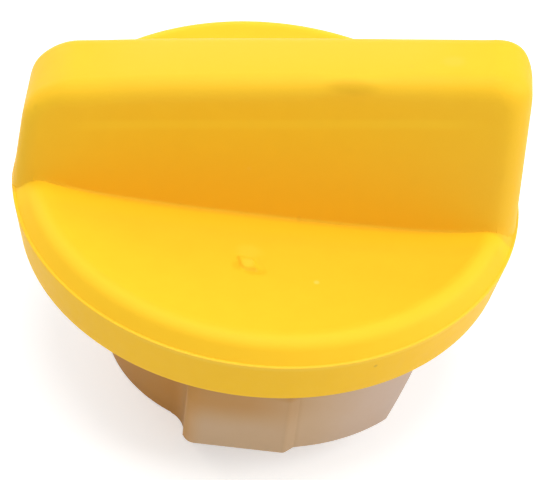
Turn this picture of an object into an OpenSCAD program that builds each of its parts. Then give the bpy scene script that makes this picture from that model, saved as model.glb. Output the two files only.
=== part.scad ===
// Oil filler cap: a yellow moulded cap with a wedge-shaped bar grip, a bayonet
// insert that snaps into it from below, and a flat sealing ring.
// Millimetres. The origin is the centre of the insert's lower rim, on which the
// cap stands. +Z is up, and the bar runs along X and rises towards +X.

/* [Cap] */
// Diameter over the step line, the widest part
cap_d = 62; // [58:0.5:68]
// Height of the skirt, from its lower edge to the step line
skirt_h = 6.4; // [5.5:0.1:8]
// How far the skirt draws in from the step line to its lower edge
skirt_draw_in = 1.15; // [0.4:0.05:1.6]
// Wall of the skirt at its lower edge
skirt_wall = 2.2; // [1.8:0.1:2.6]
// Width of the ledge between the shoulder and the step line
ledge_w = 0.2; // [0.1:0.05:0.4]
// Height of the rim's crest above the step line
rim_rise = 1.65; // [1.3:0.05:2.2]
// Distance of the rim's crest inside the step line
rim_inset = 2.6; // [2.2:0.1:3.2]
// Depth of the dished top below the rim's crest
dish_depth = 1.85; // [1.2:0.05:2.2]
// Thickness of the top at the middle of the dish
plate_t = 2.05; // [1.8:0.05:2.4]
// How far the hollow under the rim rises above the flat ceiling
rim_hollow_h = 1.1; // [0.6:0.1:1.3]
// Width of the hollow under the rim
rim_hollow_w = 5; // [3:0.1:6]

/* [Grip bar] */
// Distance of the bar's end faces inside the step line, at its height
bar_end_inset = 0.7; // [0.3:0.05:1]
// Thickness of the bar at the height of the step line
bar_foot_t = 11.8; // [10:0.1:14]
// Thickness of the bar at its upper edge
bar_top_t = 10; // [9:0.1:11]
// Height of the bar's middle above the rim's crest
bar_mid_h = 17.8; // [14:0.1:20]
// Slope of the bar's top along its length
bar_slope = 8.9; // [0:0.1:10]
// Lean of the end face at the low end
low_end_lean = 3; // [1:0.5:8]
// Lean of the end face at the high end
high_end_lean = 3; // [1:0.5:8]
// Radius of the top corner at the low end
low_corner_r = 8.6; // [4:0.1:10]
// Radius of the top corner at the high end
high_corner_r = 5.2; // [3.8:0.1:7]
// Radius of the long upper edges
bar_edge_r = 2.7; // [1:0.1:3]
// Radius of the upright corners, seen from above
bar_upright_r = 3.6; // [3:0.1:4.5]
// Wall around the hollow inside the bar
bar_wall = 2.9; // [2.6:0.1:3.2]
// Smallest radius along the edges of the hollow
bar_inner_r = 0.5; // [0.2:0.1:1]
// Distance of the hollow's ends from the inside of the skirt
bar_core_inset = 1; // [0.6:0.1:3]
// Number of cross ribs in the hollow
bar_ribs = 4; // [2:2:4]
// Thickness of a cross rib
bar_rib_t = 1.6; // [1.2:0.1:2]

/* [Insert] */
// Wall of the tube
tube_wall = 2.2; // [1.8:0.1:3]
// How far the tube reaches below the skirt
tube_drop = 19; // [17:0.5:22]
// Thickness of the round plate at the top of the insert
insert_plate_t = 1.6; // [1.2:0.1:2]
// Gap between the plate's edge and the inside of the skirt
insert_gap = 0.3; // [0.2:0.05:0.6]
// Height of the keys that fill the bar's hollow
key_h = 6; // [4:0.5:9]
// Gap around each key
key_gap = 0.2; // [0.1:0.05:0.4]
// Wall of each key
key_wall = 1.4; // [1:0.1:1.6]

/* [Bayonet] */
// How far the wings stand out from the tube
wing_w = 6.2; // [4:0.1:7]
// Height of a wing's underside above the tube's rim
wing_lift = 4.4; // [3.5:0.1:6]
// Gap between a wing's top and the sealing ring, for the neck's tab
tab_gap = 4.9; // [4.5:0.1:6]
// Angle from the lug's middle round to the low corner of the wing's sloping end
wing_reach = 47; // [40:1:60]
// Lean of the sloping end from upright
wing_end_lean = 34; // [20:1:45]
// Width of the lug at the blunt end of a wing
lug_w = 13.4; // [10:0.2:15]
// How far the lug's flat front stands out beyond the wing
lug_stand = 0.15; // [0:0.05:0.6]
// Chamfer where the lug's front meets the wing
lug_chamfer = 1; // [0.5:0.1:1.5]
// Radius of the fillet between the lug's blunt side and the tube
lug_fillet_r = 2; // [1:0.1:2.5]

/* [Snap beads] */
// Number of beads inside the skirt that hold the insert
bead_count = 6; // [4:1:8]
// How far a bead stands in from the skirt
bead_in = 0.7; // [0.5:0.05:0.9]
// Height of a bead
bead_h = 0.8; // [0.6:0.1:1]
// Width of a bead along the skirt
bead_w = 7; // [5:0.5:9]
// Gap between the beads and the plate that they hold
bead_gap = 0.1; // [0.05:0.05:0.2]

/* [Seal] */
// Thickness of the sealing ring
seal_t = 2.2; // [1.8:0.1:2.4]
// Width of the sealing ring, which sets the tube's size inside the skirt
seal_w = 8.1; // [6.5:0.1:9]
// Gap between the ring and the tube
seal_gap = 0.05; // [0.02:0.01:0.1]
// Gap between the ring and the beads inside the skirt
seal_edge_gap = 0.3; // [0.1:0.05:0.8]

/* [Hidden] */
$fn = 96;

// Heights
skirt_z = tube_drop;
step_z = skirt_z + skirt_h;
crest_z = step_z + rim_rise;
dish_z = crest_z - dish_depth;
ceiling_z = dish_z - plate_t;
plate_z = ceiling_z - insert_plate_t;
seal_z = plate_z - seal_t;
wing_top_z = seal_z - tab_gap;
wing_h = wing_top_z - wing_lift;

// Radii
cap_r = cap_d / 2;
shoulder_r = cap_r - ledge_w;
crest_r = cap_r - rim_inset;
skirt_out_r = cap_r - skirt_draw_in;
skirt_in_r = skirt_out_r - skirt_wall;
insert_plate_r = skirt_in_r - insert_gap;
seal_out_r = skirt_in_r - bead_in - seal_edge_gap;
seal_in_r = seal_out_r - seal_w;
tube_r = seal_in_r - seal_gap;
tube_mid_r = tube_r - tube_wall / 2;
bore_r = tube_r - tube_wall;
wing_r = tube_r + wing_w;
lug_front = wing_r + lug_stand;

// The rim's round runs from its crest down to the shoulder's edge, and the dish
// is the circle that meets it smoothly, at meet_r and meet_z
rim_round_r = (pow(shoulder_r - crest_r, 2) + pow(rim_rise, 2)) / (2 * rim_rise);
dish_round_r = (pow(crest_r, 2) + pow(dish_depth, 2)) / (2 * dish_depth) - rim_round_r;
meet_share = dish_round_r / (dish_round_r + rim_round_r);
meet_r = crest_r * meet_share;
meet_z = dish_z + dish_round_r * (1 - sqrt(1 - pow(meet_r / dish_round_r, 2)));

// The bar
bar_mid_z = crest_z + bar_mid_h;
bar_draft = atan((bar_foot_t - bar_top_t) / 2 / (bar_mid_z - step_z));
// The faces stay parallel to X where they meet the top, so each is turned by
// this much about Z when it follows the slope
bar_face_turn = atan(tan(bar_slope) * tan(bar_draft));
bar_core_half = skirt_in_r - bar_core_inset;
rib_pitch = 2 * bar_core_half / (bar_ribs + 1);

// The keys are as thick as the bar's hollow where their tops stand
key_top_z = ceiling_z + key_h;
key_l = rib_pitch - bar_rib_t - 2 * key_gap;
key_t = bar_foot_t - 2 * ((key_top_z - step_z) * tan(bar_draft) + bar_wall + key_gap);

// Sides of the dish's large circle
dish_fn = 720;
// How far a cut runs past what it cuts
past = 1;

// Outline with each corner rounded: the straight edges between the points where
// the rounds begin and end, and a circle in each corner
function unit(v) = v / norm(v);
function corner_half(a, b, c) = acos(unit(a - b) * unit(c - b)) / 2;
function corner_start(a, b, c, r) = b + unit(a - b) * r / tan(corner_half(a, b, c));
function corner_end(a, b, c, r) = b + unit(c - b) * r / tan(corner_half(a, b, c));
function corner_centre(a, b, c, r) =
    b + unit(unit(a - b) + unit(c - b)) * r / sin(corner_half(a, b, c));

module rounded_outline(points, radii) {
    n = len(points);
    polygon([
        for (i = [0 : n - 1], end = [0, 1])
            let (a = points[(i + n - 1) % n], b = points[i], c = points[(i + 1) % n])
                radii[i] == 0 ? b
                : end == 0 ? corner_start(a, b, c, radii[i])
                : corner_end(a, b, c, radii[i])
    ]);
    for (i = [0 : n - 1])
        if (radii[i] > 0)
            translate(corner_centre(points[(i + n - 1) % n], points[i], points[(i + 1) % n], radii[i]))
                circle(r = radii[i]);
}

// Section of the cap from its axis outwards: dish, rim, shoulder, ledge, skirt
module cap_section() {
    difference() {
        union() {
            polygon([
                [0, skirt_z],
                [skirt_out_r, skirt_z],
                [cap_r, step_z],
                [shoulder_r, step_z],
                [crest_r, crest_z - rim_round_r],
                [meet_r, meet_z],
                [0, meet_z]
            ]);
            intersection() {
                translate([crest_r, crest_z - rim_round_r])
                    circle(r = rim_round_r);
                translate([0, step_z])
                    square([cap_r, rim_rise + past]);
            }
        }
        translate([0, dish_z + dish_round_r])
            circle(r = dish_round_r, $fn = dish_fn);
        translate([-past, skirt_z - past])
            square([skirt_in_r + past, ceiling_z - skirt_z + past]);
        translate([skirt_in_r - rim_hollow_w, ceiling_z - past])
            square([rim_hollow_w, rim_hollow_h + past]);
    }
}

// One drafted face of the bar with its rounded upper edge, along the slope
module bar_face(half_t, edge_r) {
    reach = 2 * bar_mid_z;
    width = cap_d;
    rotate([0, 0, bar_face_turn])
        rotate([0, -bar_slope, 0])
            rotate([90, 0, 90])
                linear_extrude(height = 2 * cap_d, center = true)
                    rounded_outline([
                        [-half_t - reach * tan(bar_draft), -reach],
                        [width, -reach],
                        [width, 0],
                        [-half_t, 0]
                    ], [0, 0, 0, edge_r]);
}

// Solid form of the bar, or of its hollow when it is drawn in by the wall
module bar_form(draw_in, foot_z) {
    half_x = cap_r - bar_end_inset - draw_in;
    half_y = bar_foot_t / 2 - draw_in;
    top_z = bar_mid_z - draw_in;
    edge_r = max(bar_edge_r - draw_in, bar_inner_r);
    upright_r = max(bar_upright_r - draw_in, bar_inner_r);
    rise = tan(bar_slope);
    low_in = tan(low_end_lean);
    high_in = tan(high_end_lean);
    low_x = (-half_x + (top_z - step_z) * low_in) / (1 - rise * low_in);
    high_x = (half_x - (top_z - step_z) * high_in) / (1 + rise * high_in);
    intersection() {
        // from the side: sloping top, leaning ends
        rotate([90, 0, 0])
            linear_extrude(height = 2 * bar_foot_t, center = true)
                rounded_outline([
                    [-half_x - (step_z - foot_z) * low_in, foot_z],
                    [half_x + (step_z - foot_z) * high_in, foot_z],
                    [high_x, top_z + high_x * rise],
                    [low_x, top_z + low_x * rise]
                ], [0, 0, high_corner_r - draw_in / 2, low_corner_r - draw_in / 2]);
        // from the end: the two drafted faces
        translate([0, 0, top_z])
            bar_face(bar_top_t / 2 - draw_in, edge_r);
        mirror([0, 1, 0])
            translate([0, 0, top_z])
                bar_face(bar_top_t / 2 - draw_in, edge_r);
        // from above: rounded upright corners
        translate([0, 0, foot_z])
            linear_extrude(height = 2 * bar_mid_h)
                rounded_outline([
                    [-half_x, -half_y],
                    [half_x, -half_y],
                    [half_x, half_y],
                    [-half_x, half_y]
                ], [upright_r, upright_r, upright_r, upright_r]);
    }
}

// Hollow inside the bar, open at the ceiling and crossed by ribs
module bar_hollow() {
    difference() {
        intersection() {
            bar_form(bar_wall, ceiling_z - past);
            translate([-bar_core_half, -bar_foot_t, ceiling_z - past])
                cube([2 * bar_core_half, 2 * bar_foot_t, 2 * bar_mid_z]);
        }
        for (i = [1 : bar_ribs])
            translate([-bar_core_half + i * rib_pitch - bar_rib_t / 2, -bar_foot_t, ceiling_z])
                cube([bar_rib_t, 2 * bar_foot_t, 2 * bar_mid_z]);
    }
}

// One bead inside the skirt, under the insert's plate
module snap_bead() {
    intersection() {
        difference() {
            cylinder(r = skirt_in_r + skirt_wall / 2, h = bead_h);
            translate([0, 0, -past])
                cylinder(r = skirt_in_r - bead_in, h = bead_h + 2 * past);
        }
        translate([0, -bead_w / 2, 0])
            cube([cap_r, bead_w, bead_h]);
    }
}

module grip_cap() {
    color([0.98, 0.76, 0.14]) {
        difference() {
            union() {
                rotate_extrude()
                    cap_section();
                bar_form(0, step_z);
                // the bar's root, down into the top
                translate([-crest_r, -bar_foot_t / 2, ceiling_z + rim_hollow_h])
                    cube([2 * crest_r, bar_foot_t, step_z - ceiling_z - rim_hollow_h]);
            }
            bar_hollow();
        }
        for (i = [0 : bead_count - 1])
            rotate([0, 0, (i + 0.5) * 360 / bead_count])
                translate([0, 0, plate_z - bead_gap - bead_h])
                    snap_bead();
    }
}

// One wing: a ring sector that runs from its lug round to a sloping end
module wing() {
    fillet_x = -lug_w / 2 - lug_fillet_r;
    fillet_y = -sqrt(pow(tube_r + lug_fillet_r, 2) - pow(fillet_x, 2));
    intersection() {
        translate([0, 0, wing_lift])
            linear_extrude(height = wing_h)
                difference() {
                    circle(r = wing_r);
                    circle(r = tube_mid_r);
                    translate([-2 * wing_r, -2 * wing_r])
                        square([2 * wing_r, 4 * wing_r]);
                }
        rotate([0, 0, wing_reach])
            translate([0, 0, wing_lift])
                rotate([0, wing_end_lean, 0])
                    translate([-4 * wing_r, -2 * wing_r, -2 * wing_r])
                        cube([4 * wing_r, 4 * wing_r, 4 * wing_r]);
    }
    // the lug, and the fillet at its blunt side
    translate([0, 0, wing_lift])
        linear_extrude(height = wing_h) {
            difference() {
                polygon([
                    [-lug_w / 2, 0],
                    [-lug_w / 2, -lug_front],
                    [lug_w / 2 - lug_chamfer, -lug_front],
                    [lug_w / 2, -lug_front + lug_chamfer],
                    [lug_w / 2, 0]
                ]);
                circle(r = tube_mid_r);
            }
            difference() {
                polygon([
                    [-lug_w / 2, fillet_y],
                    [fillet_x, fillet_y],
                    [fillet_x, fillet_y] * tube_mid_r / norm([fillet_x, fillet_y]),
                    [-lug_w / 2, -sqrt(pow(tube_mid_r, 2) - pow(lug_w / 2, 2))]
                ]);
                translate([fillet_x, fillet_y])
                    circle(r = lug_fillet_r);
            }
        }
}

// A hollow key that fills one space between two ribs of the bar
module key() {
    translate([-key_l / 2, -key_t / 2, ceiling_z - insert_plate_t / 2])
        difference() {
            cube([key_l, key_t, key_h + insert_plate_t / 2]);
            translate([key_wall, key_wall, insert_plate_t])
                cube([key_l - 2 * key_wall, key_t - 2 * key_wall, key_h]);
        }
}

module bayonet_insert() {
    color([0.80, 0.70, 0.58]) {
        difference() {
            union() {
                cylinder(r = tube_r, h = plate_z + insert_plate_t / 2);
                translate([0, 0, plate_z])
                    cylinder(r = insert_plate_r, h = insert_plate_t);
            }
            translate([0, 0, -past])
                cylinder(r = bore_r, h = plate_z + past);
        }
        for (side = [0, 180])
            rotate([0, 0, side]) {
                wing();
                translate([rib_pitch, 0, 0])
                    key();
            }
    }
}

module seal_ring() {
    color([0.13, 0.13, 0.13])
        difference() {
            translate([0, 0, seal_z])
                cylinder(r = seal_out_r, h = seal_t);
            translate([0, 0, seal_z - past])
                cylinder(r = seal_in_r, h = seal_t + 2 * past);
        }
}

grip_cap();
bayonet_insert();
seal_ring();
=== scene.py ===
import math
import bpy
import bmesh
import numpy as np
from mathutils import Matrix, Vector


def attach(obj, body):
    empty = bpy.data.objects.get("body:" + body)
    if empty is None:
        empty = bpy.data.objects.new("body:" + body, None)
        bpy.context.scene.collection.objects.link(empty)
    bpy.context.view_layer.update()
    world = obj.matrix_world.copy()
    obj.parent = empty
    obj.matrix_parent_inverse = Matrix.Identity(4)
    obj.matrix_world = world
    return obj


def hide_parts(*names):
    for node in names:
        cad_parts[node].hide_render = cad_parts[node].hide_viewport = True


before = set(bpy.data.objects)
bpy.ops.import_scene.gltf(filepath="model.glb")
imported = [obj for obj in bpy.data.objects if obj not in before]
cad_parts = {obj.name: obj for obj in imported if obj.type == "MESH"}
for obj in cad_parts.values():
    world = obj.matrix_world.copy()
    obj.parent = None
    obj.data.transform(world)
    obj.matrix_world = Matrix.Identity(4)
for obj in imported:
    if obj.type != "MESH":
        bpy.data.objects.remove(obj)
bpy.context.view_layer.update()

mm = 0.001
print("frame loaded")

# the cap, in millimetres; the bar uses its step's height too
cap = {
    "stepRadius": 31.0, "stepHeight": 25.17, "stepRound": 0.121, "ledge": 0.38, "flatAt": 30.76,
    "rimRise": 2.19, "rimInset": 2.95, "shoulderLean": 52.0, "innerRound": 2.6,
    "dishRise": 2.05, "dishPower": 3.6,
    "skirtFoot": 18.84, "skirtDrawIn": 1.15, "skirtWall": 2.2, "skirtEdgeRound": 0.3,
    "ceiling": 23.15, "ceilingRound": 0.4,
    # columns round the cap: how many, and how many of them stand close together, at what angle
    "turns": 384, "fineTurns": 34, "fineAngle": 0.42,
}


def smoothStep(low, high, x):
    # 0 below low, 1 above high, and an S curve 3t^2 - 2t^3 in between
    t = np.clip((x - low) / (high - low), 0, 1)
    return t * t * (3 - 2 * t)


def roundMax(first, second, radius):
    # the inside of both forms, whose common edge is a circle of that radius:
    # the larger distance deep inside, and the length of both overlaps near the edge
    inside = np.minimum(np.maximum(first, second), -radius)
    return inside + np.hypot(np.maximum(first + radius, 0), np.maximum(second + radius, 0))


def softMax(first, second, width):
    # the larger of both, with a small parabola where they are about the same
    blend = np.maximum(width - np.abs(first - second), 0) / width
    return np.maximum(first, second) + blend * blend * width / 4


def roundedPath(points, radii, arcSteps=10, edgeStep=1.0):
    # a polyline through the points: each corner with a radius becomes an arc that touches both edges,
    # and each straight edge gets points about edgeStep apart
    points = np.array(points, float)
    pieces = []
    last = points[0]
    for here, before, after, radius in zip(points[1:-1], points[:-2], points[2:], radii[1:-1]):
        into, out = here - before, after - here
        into, out = into / np.linalg.norm(into), out / np.linalg.norm(out)
        turn = math.acos(np.clip(into @ out, -1, 1))
        cut = radius * math.tan(turn / 2)
        start = here - into * cut
        steps = max(int(np.linalg.norm(start - last) / edgeStep), 1)
        pieces.append(last + (start - last) * np.linspace(0, 1, steps, endpoint=False)[:, None])
        if radius > 0:
            side = np.sign(into[0] * out[1] - into[1] * out[0])
            normal = np.array([-into[1], into[0]]) * side
            angle = np.linspace(0, turn, arcSteps + 1)[:-1, None]
            pieces.append(start + normal * radius * (1 - np.cos(angle)) + into * radius * np.sin(angle))
            last = here + out * cut
        else:
            last = here
    steps = max(int(np.linalg.norm(points[-1] - last) / edgeStep), 1)
    pieces.append(last + (points[-1] - last) * np.linspace(0, 1, steps + 1)[:, None])
    return np.vstack(pieces)


def gridFaces(rows, columns, closedColumns=False, flip=False):
    # one quad between each pair of neighbouring rows and columns of a grid that is stored row by row
    r = np.arange(rows - 1)[:, None]
    c = np.arange(columns if closedColumns else columns - 1)[None, :]
    d = (c + 1) % columns
    quads = np.stack([r * columns + c, r * columns + d, (r + 1) * columns + d, (r + 1) * columns + c], -1)
    quads = quads.reshape(-1, 4)
    return quads[:, ::-1] if flip else quads


def addObject(name, data):
    obj = bpy.data.objects.new(name, data)
    bpy.context.scene.collection.objects.link(obj)
    return obj


def meshObject(name, vertices, faces, weld=2e-6):
    # vertices in millimetres; doubles are merged, flat leftovers removed and faces turned outwards
    mesh = bpy.data.meshes.new(name)
    mesh.from_pydata((np.asarray(vertices, float) * mm).tolist(), [], np.asarray(faces).tolist())
    obj = addObject(name, mesh)
    work = bmesh.new()
    work.from_mesh(mesh)
    bmesh.ops.remove_doubles(work, verts=work.verts, dist=weld)
    bmesh.ops.dissolve_degenerate(work, edges=work.edges, dist=weld)
    rims = [edge for edge in work.edges if edge.is_boundary]
    if rims:
        bmesh.ops.holes_fill(work, edges=rims, sides=0)
    bmesh.ops.recalc_face_normals(work, faces=work.faces)
    work.to_mesh(mesh)
    work.free()
    return obj


def evenTurn(turns):
    return np.arange(turns) * 2 * math.pi / turns


def revolve(path, angle):
    # each path point (radius, height) is carried round Z: x = r sin a, y = -r cos a, a = 0 at the front
    r, z = path[:, 0, None], path[:, 1, None]
    x, y = r * np.sin(angle), -r * np.cos(angle)
    return np.stack([x, y, np.broadcast_to(z, x.shape)], -1)


def shadeSmooth(obj, degrees):
    obj.data.shade_smooth()
    obj.data.set_sharp_from_angle(angle=math.radians(degrees))


def joinUnion(base, other):
    # the two closed solids become one
    tool = base.modifiers.new("union", "BOOLEAN")
    tool.operation = "UNION"
    tool.solver = "EXACT"
    tool.object = other
    graph = bpy.context.evaluated_depsgraph_get()
    joined = bpy.data.meshes.new_from_object(base.evaluated_get(graph))
    old = base.data
    base.modifiers.clear()
    base.data = joined
    joined.name = base.name
    bpy.data.meshes.remove(old)
    bpy.data.objects.remove(other)


# cap: dish, rim, shoulder, ledge and skirt

def dishAndRim(radius):
    # height of the top at a radius: a hollow that rises with a power of the radius, a circle up to the
    # rim's crest, another circle down from it, and where that one leans by shoulderLean a straight cone
    # down to the ledge; each meets the next with the same slope
    shoulderR = cap["stepRadius"] - cap["ledge"]
    crestR, crestZ = shoulderR - cap["rimInset"], cap["stepHeight"] + cap["rimRise"]
    lean = math.radians(cap["shoulderLean"])
    sine, cosine, tangent = math.sin(lean), math.cos(lean), math.tan(lean)
    # the outer circle's radius follows from the rise: rise = r (1 - cos) + (inset - r sin) tan
    rimR = (cap["rimRise"] - cap["rimInset"] * tangent) / (1 - cosine - sine * tangent)
    leave = crestR + rimR * sine
    # the inner circle meets the hollow where both have the same slope; a few rounds find the place
    rise, power, innerR, meet = cap["dishRise"], cap["dishPower"], cap["innerRound"], crestR
    for _ in range(20):
        slope = power * rise / crestR * (meet / crestR) ** (power - 1)
        meet = crestR - innerR * math.sin(math.atan(slope))
    meetZ = crestZ - innerR + math.sqrt(innerR ** 2 - (crestR - meet) ** 2)
    hollow = meetZ - rise * (meet / crestR) ** power + rise * (radius / crestR) ** power
    circle = np.where(radius < crestR, innerR, rimR)
    rim = crestZ - circle + np.sqrt(np.maximum(circle ** 2 - (radius - crestR) ** 2, 0))
    cone = cap["stepHeight"] + (shoulderR - radius) * tangent
    return np.where(radius < meet, hollow, np.where(radius < leave, rim, cone))


def capPath():
    # from the middle of the dish over the rim and down the skirt, then up inside to the ceiling's middle
    shoulderR = cap["stepRadius"] - cap["ledge"]
    # rings of points: from, to and how many, closest together at the nub and on the rim
    rings = [(0, 12, 15), (12.5, 13.4, 3), (13.5, 16.6, 27), (17, 25.5, 16), (25.8, shoulderR, 36)]
    r = np.concatenate([np.linspace(*ring) for ring in rings])
    top = np.stack([r, dishAndRim(r)], 1)
    footR = cap["stepRadius"] - cap["skirtDrawIn"]
    insideR = footR - cap["skirtWall"]
    corners = [
        ((shoulderR, cap["stepHeight"]), 0),
        ((cap["stepRadius"], cap["stepHeight"]), cap["stepRound"]),
        ((footR, cap["skirtFoot"]), cap["skirtEdgeRound"]),
        ((insideR, cap["skirtFoot"]), cap["skirtEdgeRound"]),
        ((insideR, cap["ceiling"]), cap["ceilingRound"]),
        ((0, cap["ceiling"]), 0),
    ]
    rest = roundedPath(*zip(*corners), arcSteps=5, edgeStep=0.8)
    return np.vstack([top, rest[1:]])


# the moulding gate's nub: its place, half its width and depth, how far its sides lean, how its edge is
# rounded, waved and faded, how its top tilts, and the shallow ring that lies round it
nub = {
    "place": (-1.27, -14.93), "halfWide": 0.84, "halfDeep": 0.82, "height": 0.20,
    "leanWide": 0.42, "leanDeep": 0.16, "cornerRound": 0.35, "wave": 0.05, "edge": (-0.08, 0.24),
    "tiltWide": 0.12, "tiltDeep": 0.25,
    "ringDepth": 0.07, "ringAt": 0.45, "ringWide": 0.38, "ringUneven": 0.5, "ringTurn": 2.6,
}


def nubHeight(x, y):
    # an uneven plateau: the distance from a leaning four-cornered form, turned into a steep round edge,
    # times a tilt; the ring is a bell curve of that distance, deeper on one side
    dx, dy = x - nub["place"][0], y - nub["place"][1]
    turn = np.arctan2(dy, dx)
    across = np.abs(dx + nub["leanWide"] * dy) - nub["halfWide"]
    along = np.abs(dy + nub["leanDeep"] * dx) - nub["halfDeep"]
    outside = roundMax(across, along, nub["cornerRound"]) + nub["wave"] * np.sin(5 * turn)
    tilt = 1 + nub["tiltDeep"] * dy + nub["tiltWide"] * dx
    top = nub["height"] * tilt * (1 - smoothStep(*nub["edge"], outside))
    ring = np.exp(-((outside - nub["ringAt"]) / nub["ringWide"]) ** 2)
    uneven = 1 + nub["ringUneven"] * np.sin(turn + nub["ringTurn"])
    return top - nub["ringDepth"] * ring * uneven


def capBody():
    # columns stand close together where the nub is
    fine = math.radians(cap["fineAngle"]) * np.arange(-cap["fineTurns"], 1)
    wide = np.linspace(0, 2 * math.pi + fine[0], cap["turns"] - cap["fineTurns"])[1:-1]
    angle = np.concatenate([fine, wide])
    points = revolve(capPath(), angle)
    # only the top carries the nub: its lowest point lies well over the ceiling inside
    lowestTop = cap["stepHeight"] - 0.6
    x, y, z = points[..., 0], points[..., 1], points[..., 2]
    points[..., 2] += np.where(z > lowestTop, nubHeight(x, y), 0)
    # the bar's low end cuts a narrow flat into the cap's side
    points[..., 0] = np.maximum(points[..., 0], -cap["flatAt"])
    return meshObject("gripCap", points.reshape(-1, 3), gridFaces(len(points), len(angle), True))


# grip bar

# low is the end at -X and high the one at +X; a pair is where something begins and where it is full
bar = {
    "foot": 24.6, "lowReach": 30.8, "highReach": 30.75, "midHeight": 44.76, "slope": 8.65,
    "lowLean": 4.7, "highLean": 3.1, "lowCorner": 5.4, "highCorner": 5.2,
    "arch": 0.32, "archReach": 27, "lowDroop": 0.22, "droop": (14, 24),
    "halfFoot": 6.35, "draft": 1.05 / 19.45,
    # rounds of the long edges at the front and back, then of the upright edges, and how both melt together
    "edgeRound": 2.7, "highEdgeRound": 3.4, "backRound": 2.75, "highBackRound": 1.95, "change": (-6.5, -0.5),
    "lowRound": 1.6, "highRound": 4.2, "soften": 0.9,
    "pinchAt": 8.6, "pinchWide": 4.2, "pinch": 0.9,
    "footFillet": 0.38, "filletSunk": 0.05, "footFlare": 0.46, "flare": (13, 26), "flareFade": 14.0,
    # the first form's round and lean, and how its points then settle on the bar's own form
    "firstRound": 2.6, "firstLean": 1, "settleRounds": 8, "settleStep": 0.01, "leastSlope": 0.25,
}


def barDistance(points):
    # how far a point lies outside the bar: its sloping top, its two leaning ends and its drafted faces are
    # planes; top and ends join in an arch, the arch meets the faces in the long round, and the upright
    # edges have their own round, which melts into the long one
    x, y, z = points[..., 0], points[..., 1], points[..., 2]
    slope, low, high = (math.radians(bar[key]) for key in ("slope", "lowLean", "highLean"))
    up = z - cap["stepHeight"]
    crown = bar["arch"] * np.clip(1 - (x / bar["archReach"]) ** 2, 0, 1)
    crown -= bar["lowDroop"] * smoothStep(*bar["droop"], -x)
    top = (z - bar["midHeight"] - crown - x * math.tan(slope)) * math.cos(slope)
    lowEnd = (-x - bar["lowReach"] + up * math.tan(low)) * math.cos(low)
    highEnd = (x - bar["highReach"] + up * math.tan(high)) * math.cos(high)
    end = np.where(x < 0, lowEnd, highEnd)
    # the faces' feet end in a fillet on the dish and grow a little thicker towards both ends
    above = np.maximum(z - dishAndRim(np.hypot(x, y)), 0)
    fillet = bar["footFillet"]
    left = np.clip(fillet - above - bar["filletSunk"], 0, fillet)
    foot = fillet - np.sqrt(fillet ** 2 - left ** 2)
    foot += bar["footFlare"] * smoothStep(*bar["flare"], np.abs(x)) * np.exp(-above / bar["flareFade"])
    face = np.abs(y) - barHalf(z) - foot
    arch = roundMax(top, end, np.where(x < 0, bar["lowCorner"], bar["highCorner"]))
    # the long edges' rounds change towards the high end, and the front one is tighter at one place
    toHigh = smoothStep(*bar["change"], highEnd)
    front = bar["edgeRound"] + (bar["highEdgeRound"] - bar["edgeRound"]) * toHigh
    front -= bar["pinch"] * np.exp(-((x - bar["pinchAt"]) / bar["pinchWide"]) ** 2)
    back = bar["backRound"] + (bar["highBackRound"] - bar["backRound"]) * toHigh
    edge = roundMax(arch, face, np.where(y < 0, front, back))
    upright = roundMax(end, face, np.where(x < 0, bar["lowRound"], bar["highRound"]))
    return softMax(edge, upright, bar["soften"])


def barHalf(z):
    # half the bar's thickness: the faces draw in towards the top
    return bar["halfFoot"] - (z - cap["stepHeight"]) * bar["draft"]


def barSurface():
    # a first form: an arch from foot to foot, and across it the front face, a quarter circle, the narrow
    # band, the other quarter circle and the back face
    slope = math.tan(math.radians(bar["slope"]))
    low, high, foot, top = bar["lowReach"], bar["highReach"], bar["foot"], bar["midHeight"]
    lean, radius = bar["firstLean"], bar["firstRound"]
    corners = [(-low, foot), (-low + lean, top - slope * low), (high - lean, top + slope * high), (high, foot)]
    arch = roundedPath(corners, [0, bar["lowCorner"], bar["highCorner"], 0], arcSteps=30, edgeStep=0.7)
    way = np.gradient(arch, axis=0)
    way /= np.linalg.norm(way, axis=1)[:, None]
    inward = np.stack([way[:, 1], -way[:, 0]], 1)
    inner = arch + inward * radius
    along = np.linspace(0, 1, len(arch))
    base = np.stack([inner[0, 0] + (inner[-1, 0] - inner[0, 0]) * along, np.full(len(arch), foot)], 1)
    rows = []
    # rows stand close together at the foot, for its fillet
    for share in np.concatenate([np.linspace(0, 0.2, 32), np.linspace(0.2, 1, 19)[1:-1]]):
        flat = base + (inner - base) * share
        rows.append(np.stack([flat[:, 0], -barHalf(flat[:, 1]), flat[:, 1]], 1))
    for angle in np.linspace(math.pi / 2, 0, 13):
        rim = arch + inward * (radius * (1 - math.cos(angle)))
        depth = barHalf(rim[:, 1]) - radius * (1 - math.sin(angle))
        rows.append(np.stack([rim[:, 0], -depth, rim[:, 1]], 1))
    front = np.stack(rows, 0)
    back = front[::-1] * np.array([1, -1, 1])
    band = [front[-1] + (back[0] - front[-1]) * share for share in np.linspace(0, 1, 9)[1:-1]]
    points = np.concatenate([front, np.stack(band, 0), back], 0)
    # each point then slides along the slope of barDistance until it lies on the bar's own form
    step = bar["settleStep"]
    for _ in range(bar["settleRounds"]):
        here = barDistance(points)
        slide = np.stack([barDistance(points + step * axis) - barDistance(points - step * axis)
                          for axis in np.eye(3)], -1) / (2 * step)
        steepness = np.maximum((slide ** 2).sum(-1), bar["leastSlope"])
        points = points - slide * (here / steepness)[..., None]
    return points


def gripBar():
    points = barSurface()
    rows, columns = points.shape[:2]
    return meshObject("gripBar", points.reshape(-1, 3), gridFaces(rows, columns, False, True))


# insert: tube, plate and the two wings with their lugs

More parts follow.
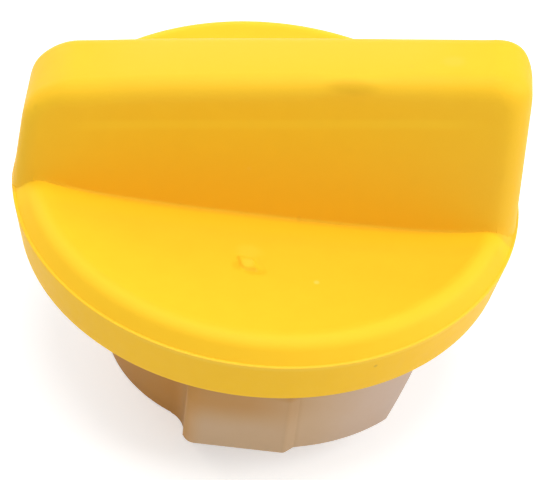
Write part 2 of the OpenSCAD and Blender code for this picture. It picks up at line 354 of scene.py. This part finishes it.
insert = {
    "tube": 18.5, "bore": 16.3, "boreRound": 0.8, "rimRound": 0.18,
    "plate": 27.35, "plateUnder": 21.55, "plateTop": 23.15, "plateCorner": 0.3, "plateRound": 0.2,
    # wings: the angle that they reach to, how their ends lean and how deep they are sunk in the tube's wall
    "wing": 24.7, "wingFoot": 4.2, "wingTop": 14.45, "wingFall": 0.04, "reach": 47.0, "endLean": 34.0,
    "endRound": 0.6, "fillet": 3.6, "edgeRound": 0.35, "clearOfTube": (-0.1, 0.8), "sunk": 17.0,
    # lugs: rounds at the blunt side and at both ends of the chamfer
    "lugHalf": 6.75, "lugFront": 24.90, "lugChamfer": 1.1, "lugRounds": [1.5, 0.9, 0.6],
    # webs: how far their front stays behind the lug's, and how far they reach into the wing
    "webLevel": 18.9, "webWidth": 2.2, "webBack": 1.5, "webRiseBack": 0.6, "webIntoWing": 0.6, "webSlices": 30,
}


def polar(radius, angle):
    # the angle is counted from the front (-Y) towards +X
    return np.stack(np.broadcast_arrays(radius * np.sin(angle), -radius * np.cos(angle)), -1)


def filletCentre(side):
    # middle of the circle that touches the tube and a flat side at that x
    x = side - insert["fillet"]
    return x, -math.sqrt((insert["tube"] + insert["fillet"]) ** 2 - x ** 2)


def wingOutline(up):
    # plan outline of a wing at a height above its underside: fillet, the lug's blunt side, flat front and
    # chamfer, the wing's arc, its sloping end, and back inside the tube's wall
    wing, half, front = insert["wing"], insert["lugHalf"], insert["lugFront"]
    fillet, chamfer, sunk = insert["fillet"], insert["lugChamfer"], insert["sunk"]
    centreX, centreY = filletCentre(-half)
    touch = math.atan2(centreX, -centreY)
    slope = up * math.tan(math.radians(insert["endLean"]))
    reach = math.radians(insert["reach"])
    endOut, endIn = reach + math.asin(slope / wing), reach + math.asin(slope / sunk)
    # the fillet's arc turns from its point on the tube to the blunt side
    bend = np.linspace(math.atan2(-centreY, -centreX), 0, 16)
    bend = np.stack([centreX + fillet * np.cos(bend), centreY + fillet * np.sin(bend)], -1)
    # the arc keeps a small angle free at both ends for the rounds there
    arc = polar(wing, np.linspace(math.asin(half / wing) + 0.03, endOut - 0.05, 60))
    back = polar(sunk, np.linspace(endIn, touch, 40)[1:-1])
    lug = [[-half, -front], [half - chamfer, -front], [half, -front + chamfer]]
    points = np.vstack([polar(sunk, touch), bend, lug, arc, polar(wing, endOut), polar(sunk, endIn), back])
    radii = [0] * (1 + len(bend)) + insert["lugRounds"] + [0] * len(arc) + [insert["endRound"]]
    # straight edges get no points of their own
    return roundedPath(points, radii + [0] * (1 + len(back)), arcSteps=6, edgeStep=1e6)


def wingSolid(name, turned):
    # the outline is carried upwards; near the flat ends it draws in along a quarter circle
    edge, tall, middleRows = insert["edgeRound"], insert["wingTop"] - insert["wingFoot"], 7
    turn = np.linspace(0, math.pi / 2, 6)
    rise, draws = edge * (1 - np.cos(turn)), edge * (1 - np.sin(turn))
    middle = np.linspace(edge, tall - edge, middleRows + 2)[1:-1]
    up = np.concatenate([rise, middle, tall - rise[::-1]])
    inset = np.concatenate([draws, np.zeros(middleRows), draws[::-1]])
    # inside the tube's wall nothing draws in
    near, clear = (insert["tube"] + beyond for beyond in insert["clearOfTube"])
    rows = []
    for height, draw in zip(up, inset):
        outline = wingOutline(height)
        way = np.roll(outline, -1, 0) - np.roll(outline, 1, 0)
        way /= np.linalg.norm(way, axis=1)[:, None]
        draw = draw * smoothStep(near, clear, np.hypot(outline[:, 0], outline[:, 1]))
        flat = outline + np.stack([-way[:, 1], way[:, 0]], 1) * draw[:, None]
        # the underside falls a little from the lug's far side to the wing's end
        fall = insert["wingFall"] * np.maximum(flat[:, 0] - insert["lugHalf"], 0) * (1 - height / tall)
        rows.append(np.column_stack([flat * turned, insert["wingFoot"] + height - fall]))
    rows = np.stack(rows, 0)
    return meshObject(name, rows.reshape(-1, 3), gridFaces(rows.shape[0], rows.shape[1], True))


def gusset(name, turned):
    # a web at the lug's blunt side, in slices from the tube outwards: its left side follows the same fillet,
    # and its foot stays level at first and then rises in an S curve to the lug's front
    fillet, foot, front, slices = insert["fillet"], insert["wingFoot"], insert["lugFront"], insert["webSlices"]
    # a hair inside the lug's side, off the tube and over the floor, so that no two faces coincide
    side, offTube, offFloor = -insert["lugHalf"] + 0.01, 0.05, 0.03
    centreX, centreY = filletCentre(side)
    start = -centreY - fillet * math.cos(math.atan2(-centreX, -centreY)) + offTube
    out = np.linspace(start, front - insert["webBack"], slices)
    bend = centreX + np.sqrt(np.maximum(fillet ** 2 - (centreY + out) ** 2, 0))
    left = np.where(out < -centreY, bend, side)
    under = offFloor + foot * smoothStep(insert["webLevel"], front - insert["webRiseBack"], out)
    right, top = np.full(slices, side + insert["webWidth"]), np.full(slices, foot + insert["webIntoWing"])
    section = [(left, under), (right, under), (right, top), (left, top)]
    rows = np.stack([np.stack([x, -out, z], -1) for x, z in section], 1) * np.array([turned, turned, 1])
    return meshObject(name, rows.reshape(-1, 3), gridFaces(slices, len(section), True))


def bayonetInsert():
    # plate and tube are one turned profile; wings and webs are joined to it, the back ones turned round
    tube, bore, plate = insert["tube"], insert["bore"], insert["plate"]
    under, top, turns = insert["plateUnder"], insert["plateTop"], 240
    corners = [
        ((0, under), 0), ((bore, under), insert["boreRound"]),
        ((bore, 0), insert["rimRound"]), ((tube, 0), insert["rimRound"]),
        ((tube, under), insert["plateCorner"]), ((plate, under), insert["plateRound"]),
        ((plate, top), insert["plateRound"]), ((0, top), 0),
    ]
    path = roundedPath(*zip(*corners), arcSteps=5, edgeStep=1.2)
    points = revolve(path, evenTurn(turns))
    made = meshObject("bayonetInsert", points.reshape(-1, 3), gridFaces(len(points), turns, True))
    joinUnion(made, wingSolid("frontWing", 1))
    joinUnion(made, wingSolid("backWing", -1))
    joinUnion(made, gusset("frontWeb", 1))
    joinUnion(made, gusset("backWeb", -1))
    return made


# sealing ring

seal = {"inner": 18.55, "outer": 26.65, "under": 19.35, "top": 21.55, "edge": 0.3, "turns": 180}


def sealRing():
    # a flat section with four rounded edges, turned round; its path starts in the middle of the underside
    inner, outer, under, top = seal["inner"], seal["outer"], seal["under"], seal["top"]
    middle = (inner + outer) / 2
    corners = [(middle, under), (outer, under), (outer, top), (inner, top), (inner, under), (middle, under)]
    path = roundedPath(corners, [0] + [seal["edge"]] * 4 + [0], arcSteps=6, edgeStep=0.8)
    points = revolve(path, evenTurn(seal["turns"]))
    return meshObject("sealRing", points.reshape(-1, 3), gridFaces(len(points), seal["turns"], True))


# materials

def link(tree, source, target):
    tree.links.new(source, target)


def newMaterial(name, colour, roughness):
    material = bpy.data.materials.new(name)
    material.use_nodes = True
    tree = material.node_tree
    shader = tree.nodes["Principled BSDF"]
    shader.inputs["Base Color"].default_value = (*colour, 1)
    shader.inputs["Roughness"].default_value = roughness
    place = tree.nodes.new("ShaderNodeTexCoord").outputs["Object"]
    return material, tree, shader, place


def noise(tree, place, scale, detail=3, rough=0.5):
    node = tree.nodes.new("ShaderNodeTexNoise")
    node.inputs["Scale"].default_value = scale
    node.inputs["Detail"].default_value = detail
    node.inputs["Roughness"].default_value = rough
    link(tree, place, node.inputs["Vector"])
    return node.outputs["Fac"]


def ramp(tree, value, fromLow, fromHigh, toLow, toHigh, smooth=False):
    node = tree.nodes.new("ShaderNodeMapRange")
    node.interpolation_type = "SMOOTHSTEP" if smooth else "LINEAR"
    limits = {"From Min": fromLow, "From Max": fromHigh, "To Min": toLow, "To Max": toHigh}
    for key, number in limits.items():
        node.inputs[key].default_value = number
    link(tree, value, node.inputs["Value"])
    return node.outputs["Result"]


def fade(tree, value, limits, low, high):
    # an S curve from low to high between two limits in millimetres
    return ramp(tree, value, limits[0] * mm, limits[1] * mm, low, high, True)


def mixColour(tree, share, first, second):
    # share 0 gives the first colour and 1 the second; each is a colour or another node's output
    node = tree.nodes.new("ShaderNodeMix")
    node.data_type = "RGBA"
    link(tree, share, node.inputs["Factor"])
    for socket, value in ((node.inputs[6], first), (node.inputs[7], second)):
        if isinstance(value, tuple):
            socket.default_value = (*value, 1)
        else:
            link(tree, value, socket)
    return node.outputs[2]


def calculate(tree, operation, *values):
    node = tree.nodes.new("ShaderNodeMath")
    node.operation = operation
    for socket, value in zip(node.inputs, values):
        if isinstance(value, (int, float)):
            socket.default_value = value
        else:
            link(tree, value, socket)
    return node.outputs[0]


def product(tree, first, second):
    return calculate(tree, "MULTIPLY", first, second)


def eitherSide(tree, value):
    return calculate(tree, "ABSOLUTE", value)


def awayFrom(tree, value, middle):
    # how far a value is from a middle given in millimetres, on either side
    return eitherSide(tree, calculate(tree, "SUBTRACT", value, middle * mm))


def splitPlace(tree, place):
    # x, y and z of each point of the surface
    split = tree.nodes.new("ShaderNodeSeparateXYZ")
    link(tree, place, split.inputs[0])
    return [split.outputs[axis] for axis in "XYZ"]


def distanceFromAxis(tree, x, y):
    # the root of x squared plus y squared
    squares = calculate(tree, "ADD", calculate(tree, "POWER", x, 2.0), calculate(tree, "POWER", y, 2.0))
    return calculate(tree, "POWER", squares, 0.5)


def nearPoint(tree, place, point, stretch, size):
    # 1 at a point given in millimetres, falling to 0 at a distance of size; stretch squeezes the axes
    node = tree.nodes.new("ShaderNodeMapping")
    node.inputs["Location"].default_value = [-p * mm * s for p, s in zip(point, stretch)]
    node.inputs["Scale"].default_value = stretch
    link(tree, place, node.inputs["Vector"])
    length = tree.nodes.new("ShaderNodeVectorMath")
    length.operation = "LENGTH"
    link(tree, node.outputs["Vector"], length.inputs[0])
    return ramp(tree, length.outputs["Value"], size * mm * 0.35, size * mm, 1, 0, True)


def bump(tree, shader, height, strength, distance):
    node = tree.nodes.new("ShaderNodeBump")
    node.inputs["Strength"].default_value = strength
    node.inputs["Distance"].default_value = distance
    link(tree, height, node.inputs["Height"])
    link(tree, node.outputs["Normal"], shader.inputs["Normal"])


yellow = {
    "colour": (0.96, 0.568, 0.024), "deeper": (0.93, 0.523, 0.020), "roughness": 0.50, "gloss": 0.11,
    "mottle": 330, "mottleShare": 0.35, "smear": 900, "smearRoughness": (-0.04, 0.05),
    "grain": 2600, "grainStrength": 0.35, "grainDepth": 0.00004,
    # tones that follow the form, most of them painted light and shade, in millimetres: a pair is where a tone
    # begins and ends, and level is a height that rises with the bar's top
    "levelSlope": 8.32,
    "band": {"colour": (0.97, 0.60, 0.028), "level": 39.3, "edge": (0.2, 1.1), "reach": (18, 26)},
    "face": {"colour": (0.93, 0.535, 0.030), "strength": 0.7, "level": (30.0, 40.0), "depth": (6.4, 6.9)},
    "top": {"colour": (0.96, 0.57, 0.046), "level": (41.2, 44.0), "depth": (-6, 5), "reach": (14, 24)},
    "creaseLight": {"colour": (0.98, 0.61, 0.021), "outer": (-10.5, -7.5), "inner": (-7.1, -6.4)},
    "crest": {"colour": (1.0, 0.64, 0.030), "strength": 0.50, "radius": 28.6, "edge": (0.3, 1.1),
              "from": (25.5, 26.2), "to": (28.2, 28.6), "besideBar": (7.2, 9.0)},
    "stepHighlight": {"colour": (1.0, 0.66, 0.085), "strength": 0.42, "radius": (30.55, 30.95),
             "height": (24.35, 24.80), "side": (-24, -6)},
    # marks: where, how the axes are squeezed, size, colour and strength
    "marks": [
        ((6.95, -16.95, 25.9), (1, 1, 1), 0.46, (1.0, 0.72, 0.16), 0.5),
        ((4.25, -6.35, 25.75), (1, 1, 1), 0.48, (0.62, 0.30, 0.02), 0.6),
        ((14.63, -27.1, 23.4), (1, 1, 1), 0.38, (0.62, 0.34, 0.04), 0.6),
        ((14.95, -1.63, 47.2), (1, 1, 1), 0.45, (0.72, 0.50, 0.03), 0.5),
        ((-28.4, -5.55, 38.2), (1, 1, 0.7), 0.9, (0.60, 0.36, 0.03), 0.45),
        ((-2.4, -5.85, 32.35), (1, 1, 1), 0.40, (0.97, 0.60, 0.10), 0.5),
        # painted shade where the front edge's round is tighter
        ((8.0, -4.95, 45.9), (0.34, 1, 1), 1.5, (0.72, 0.40, 0.012), 0.52),
        # painted light and shade round the nub: a pale patch behind it, shade at its left and in front of it,
        # and a paler top
        ((-1.3, -12.6, 25.6), (0.7, 1, 1), 1.5, (0.98, 0.62, 0.045), 0.45),
        ((-2.45, -15.4, 25.8), (1.0, 0.8, 1), 0.95, (0.84, 0.44, 0.010), 0.45),
        ((-0.35, -16.05, 25.8), (0.5, 1, 1), 0.85, (0.86, 0.44, 0.010), 0.55),
        ((-1.25, -14.8, 26.0), (1, 1, 1), 1.0, (0.97, 0.62, 0.050), 0.6),
        # painted shade at the right end of the bar's foot, on the rim
        ((27.9, -7.4, 27.0), (1, 1, 1), 2.8, (0.95, 0.47, 0.010), 0.8),
        ((19.7, -0.6, 47.9), (0.7, 1, 1), 1.3, (1.0, 0.58, 0.060), 0.5),
    ],
}


def capPlastic():
    material, tree, shader, place = newMaterial("capPlastic", yellow["colour"], yellow["roughness"])
    shader.inputs["Specular IOR Level"].default_value = yellow["gloss"]
    mottle = noise(tree, place, yellow["mottle"], detail=4, rough=0.6)
    cloudy = ramp(tree, mottle, 0.3, 0.7, 0, yellow["mottleShare"])
    colour = mixColour(tree, cloudy, yellow["colour"], yellow["deeper"])
    for point, stretch, size, tint, strength in yellow["marks"]:
        share = product(tree, nearPoint(tree, place, point, stretch, size), strength)
        colour = mixColour(tree, share, colour, tint)
    x, y, z = splitPlace(tree, place)
    slope = math.tan(math.radians(yellow["levelSlope"]))
    level = calculate(tree, "SUBTRACT", z, product(tree, x, slope))
    # a faint painted highlight band along the bar's front
    tone = yellow["band"]
    share = product(tree, fade(tree, awayFrom(tree, level, tone["level"]), tone["edge"], 1, 0),
                    fade(tree, eitherSide(tree, x), tone["reach"], 1, 0))
    colour = mixColour(tree, share, colour, tone["colour"])
    # painted shade and reflected orange light: the lower part of the bar's faces and ends is a little deeper
    tone = yellow["face"]
    share = product(tree, fade(tree, level, tone["level"], tone["strength"], 0),
                    fade(tree, eitherSide(tree, y), tone["depth"], 1, 0))
    colour = mixColour(tree, share, colour, tone["colour"])
    # painted light: the bar's top is paler, most of all at its back
    tone = yellow["top"]
    share = product(tree, fade(tree, level, tone["level"], 0, 1),
                    ramp(tree, y, tone["depth"][0] * mm, tone["depth"][1] * mm, 0.1, 1))
    share = product(tree, share, fade(tree, eitherSide(tree, x), tone["reach"], 1, 0.2))
    colour = mixColour(tree, share, colour, tone["colour"])
    # painted light: the dish is a little lighter next to the bar's front
    tone = yellow["creaseLight"]
    share = product(tree, fade(tree, y, tone["outer"], 0, 1), fade(tree, y, tone["inner"], 1, 0))
    colour = mixColour(tree, share, colour, tone["colour"])
    # a painted highlight makes the rim's crest paler, in front of and behind the bar
    tone, radial = yellow["crest"], distanceFromAxis(tree, x, y)
    share = fade(tree, awayFrom(tree, radial, tone["radius"]), tone["edge"], tone["strength"], 0)
    share = product(tree, share, fade(tree, z, tone["from"], 0, 1))
    share = product(tree, share, fade(tree, z, tone["to"], 1, 0))
    share = product(tree, share, fade(tree, eitherSide(tree, y), tone["besideBar"], 0, 1))
    colour = mixColour(tree, share, colour, tone["colour"])
    # and a painted highlight makes the step's edge paler, less at the low end
    tone = yellow["stepHighlight"]
    share = product(tree, fade(tree, radial, tone["radius"], 0, tone["strength"]),
                    fade(tree, z, tone["height"], 0, 1))
    share = product(tree, share, fade(tree, x, tone["side"], 0.2, 1))
    colour = mixColour(tree, share, colour, tone["colour"])
    link(tree, colour, shader.inputs["Base Color"])
    # fine grain, and a little more or less gloss in larger smears
    grain = noise(tree, place, yellow["grain"], detail=2)
    least, most = (yellow["roughness"] + more for more in yellow["smearRoughness"])
    dull = ramp(tree, noise(tree, place, yellow["smear"]), 0.3, 0.7, least, most)
    link(tree, dull, shader.inputs["Roughness"])
    bump(tree, shader, grain, yellow["grainStrength"], yellow["grainDepth"])
    return material


# a pair is where a tone begins and ends, in millimetres; front is how deep the warm tones of painted shade and
# reflected light reach
beige = {
    "colour": (0.63, 0.44, 0.27), "cloudy": (0.58, 0.36, 0.19), "roughness": 0.48, "gloss": 0.12,
    "cloud": 160, "cloudShare": 0.22, "grain": 1900, "grainStrength": 0.3, "grainDepth": 0.00003,
    "front": (-10, 6),
    # left and right: painted shade and reflected light at the left, painted light at the right
    "left": {"colour": (0.64, 0.315, 0.085), "side": (-8, -4)},
    "right": {"colour": (0.60, 0.455, 0.365), "side": (6, 19)},
    # painted shade on the lug's chamfer and rounded left corner
    "chamfer": {"colour": (0.52, 0.34, 0.185), "strength": 0.5, "side": 6.2, "edge": (0.4, 1.2)},
    "corner": {"colour": (0.50, 0.27, 0.075), "strength": 0.5, "side": -6.8, "edge": (0.2, 0.9)},
    # painted shade and reflected yellow light under the cap
    "warmShadeAndReflection": {"colour": (0.52, 0.235, 0.026), "strength": 0.68, "height": (7.5, 12.2), "side": (-2, 12),
             "topStrength": 0.60, "topHeight": (12.2, 14.1)},
}


def insertPlastic():
    material, tree, shader, place = newMaterial("insertPlastic", beige["colour"], beige["roughness"])
    shader.inputs["Specular IOR Level"].default_value = beige["gloss"]
    x, y, z = splitPlace(tree, place)
    # painted shade and reflected yellow light make it warmer at the left; greyer at the right, where more light
    # falls
    ahead, tone = fade(tree, y, beige["front"], 1, 0), beige["left"]
    share = product(tree, fade(tree, x, tone["side"], 1, 0), ahead)
    colour = mixColour(tree, share, beige["colour"], tone["colour"])
    tone = beige["right"]
    colour = mixColour(tree, fade(tree, x, tone["side"], 0, 1), colour, tone["colour"])
    # painted shade: a stripe on the lug's chamfer, and a darker one on its rounded left corner, dim the light
    # these edges catch
    tone = beige["chamfer"]
    share = fade(tree, awayFrom(tree, x, tone["side"]), tone["edge"], tone["strength"], 0)
    colour = mixColour(tree, share, colour, tone["colour"])
    tone = beige["corner"]
    share = fade(tree, awayFrom(tree, x, tone["side"]), tone["edge"], tone["strength"], 0)
    colour = mixColour(tree, product(tree, share, ahead), colour, tone["colour"])
    # painted shade and reflected yellow light under the cap: warmer towards the wing's top, most of all at the
    # left
    tone = beige["warmShadeAndReflection"]
    share = product(tree, fade(tree, z, tone["height"], 0, tone["strength"]), fade(tree, x, tone["side"], 1, 0))
    share = calculate(tree, "MAXIMUM", share, fade(tree, z, tone["topHeight"], 0, tone["topStrength"]))
    colour = mixColour(tree, product(tree, share, ahead), colour, tone["colour"])
    cloud = noise(tree, place, beige["cloud"], detail=4, rough=0.6)
    cloudy = ramp(tree, cloud, 0.35, 0.7, 0, beige["cloudShare"])
    colour = mixColour(tree, cloudy, colour, beige["cloudy"])
    link(tree, colour, shader.inputs["Base Color"])
    grain = noise(tree, place, beige["grain"], detail=2)
    bump(tree, shader, grain, beige["grainStrength"], beige["grainDepth"])
    return material


rubber = {
    "colour": (0.022, 0.021, 0.020), "clean": (0.020, 0.019, 0.018), "dusty": (0.055, 0.052, 0.048),
    "roughness": 0.62, "dust": 420, "dustShare": 0.6,
    "grain": 3200, "grainStrength": 0.5, "grainDepth": 0.00005,
}


def sealRubber():
    material, tree, shader, place = newMaterial("sealRubber", rubber["colour"], rubber["roughness"])
    cloud = noise(tree, place, rubber["dust"], detail=5, rough=0.65)
    dust = ramp(tree, cloud, 0.45, 0.75, 0, rubber["dustShare"])
    colour = mixColour(tree, dust, rubber["clean"], rubber["dusty"])
    link(tree, colour, shader.inputs["Base Color"])
    grain = noise(tree, place, rubber["grain"])
    bump(tree, shader, grain, rubber["grainStrength"], rubber["grainDepth"])
    return material


# pieces

def finishPiece(obj, node, material, degrees):
    # the piece takes the node's place; edges sharper than degrees stay sharp in its shading
    obj.data.materials.clear()
    obj.data.materials.append(material)
    shadeSmooth(obj, degrees)
    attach(obj, "root")
    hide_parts(node)
    print(obj.name, len(obj.data.polygons), "faces")


gripCap = capBody()
joinUnion(gripCap, gripBar())
finishPiece(gripCap, "grip_cap", capPlastic(), degrees=32)
finishPiece(bayonetInsert(), "bayonet_insert", insertPlastic(), degrees=32)
finishPiece(sealRing(), "seal_ring", sealRubber(), degrees=40)

# floor, light and camera

studio = {
    "floorColour": (0.80, 0.80, 0.80), "floorRoughness": 0.9, "floorGloss": 0.1, "floorGlow": 0.48,
    "floorRadius": 3.0, "floorCorners": 96,
    "skyLevel": 0.59, "lampSize": 0.45, "lampAim": (0, 0, 0.03),
    # lamps: name, place and watts
    "lamps": [
        ("overheadLamp", (0, 0, 0.68), 2.12),
        ("rightLamp", (0.563, 0, 0.355), 1.52),
        ("backLamp", (-0.398, 0.398, 0.355), 1.17),
    ],
}


def seenDirectly(tree):
    # 1 for what the camera sees, also in gloss or through clear material, and 0 for light on the object
    path = tree.nodes.new("ShaderNodeLightPath")
    glossy = calculate(tree, "MAXIMUM", path.outputs["Is Glossy Ray"], path.outputs["Is Transmission Ray"])
    return calculate(tree, "MAXIMUM", path.outputs["Is Camera Ray"], glossy)


def floorDisc():
    # one flat face with many corners, in metres
    rim = np.array([[studio["floorRadius"], 0.0]])
    corners = revolve(rim, evenTurn(studio["floorCorners"])).reshape(-1, 3)
    mesh = bpy.data.meshes.new("studioFloor")
    mesh.from_pydata(corners.tolist(), [], [list(range(len(corners)))])
    material, tree, shader, _ = newMaterial("paleFloor", studio["floorColour"], studio["floorRoughness"])
    shader.inputs["Specular IOR Level"].default_value = studio["floorGloss"]
    # the floor's white: a little of its own light, for the camera, glossy and clear surfaces only
    glow = ramp(tree, seenDirectly(tree), 0, 1, 0, studio["floorGlow"])
    link(tree, glow, shader.inputs["Emission Strength"])
    shader.inputs["Emission Color"].default_value = (1, 1, 1, 1)
    mesh.materials.append(material)
    addObject("studioFloor", mesh)


def skyLight():
    world = bpy.data.worlds.new("studioSky")
    bpy.context.scene.world = world
    world.use_nodes = True
    tree = world.node_tree
    back = tree.nodes["Background"]
    back.inputs["Color"].default_value = (1, 1, 1, 1)
    link(tree, ramp(tree, seenDirectly(tree), 0, 1, studio["skyLevel"], 1.0), back.inputs["Strength"])


def areaLamp(name, place, watts):
    # a white disc that looks at the cap
    lamp = bpy.data.lights.new(name, "AREA")
    lamp.shape, lamp.size, lamp.energy = "DISK", studio["lampSize"], watts
    obj = addObject(name, lamp)
    obj.location = place
    aim = Vector(studio["lampAim"]) - Vector(place)
    obj.rotation_euler = aim.to_track_quat("-Z", "Y").to_euler()


# the photograph's view: angles in degrees, lengths in millimetres, focal length in the photograph's pixels
view = {
    "azimuth": -1.27, "elevation": 43.45, "roll": 7.40, "distance": 302.3, "across": 0.79,
    "upwards": -9.71, "aimHeight": 29.0, "pixelsFocal": 2500, "pixelsWide": 553,
    "sensorWide": 36, "nearest": 10, "farthest": 20000,
}


def photoCamera():
    # a long lens from above the front, turned a little about its own axis
    a, e, r = (math.radians(view[key]) for key in ("azimuth", "elevation", "roll"))
    back = Vector((math.sin(a) * math.cos(e), -math.cos(a) * math.cos(e), math.sin(e)))
    level = Vector((math.cos(a), math.sin(a), 0))
    rise = back.cross(level)
    right = math.cos(r) * level + math.sin(r) * rise
    up = math.cos(r) * rise - math.sin(r) * level
    aim = Vector((0, 0, view["aimHeight"])) + right * view["across"] + up * view["upwards"]
    eye = (aim + back * view["distance"]) * mm
    data = bpy.data.cameras.new("photoCamera")
    data.sensor_width = view["sensorWide"]
    data.lens = view["pixelsFocal"] / view["pixelsWide"] * view["sensorWide"]
    data.clip_start, data.clip_end = view["nearest"] * mm, view["farthest"] * mm
    obj = addObject("photoCamera", data)
    turn = Matrix((right, up, back)).transposed()
    obj.matrix_world = Matrix.Translation(eye) @ turn.to_4x4()
    bpy.context.scene.camera = obj


floorDisc()
skyLight()
for name, place, watts in studio["lamps"]:
    areaLamp(name, place, watts)
photoCamera()
bpy.context.scene.view_settings.view_transform = "Standard"
print("studio ready")
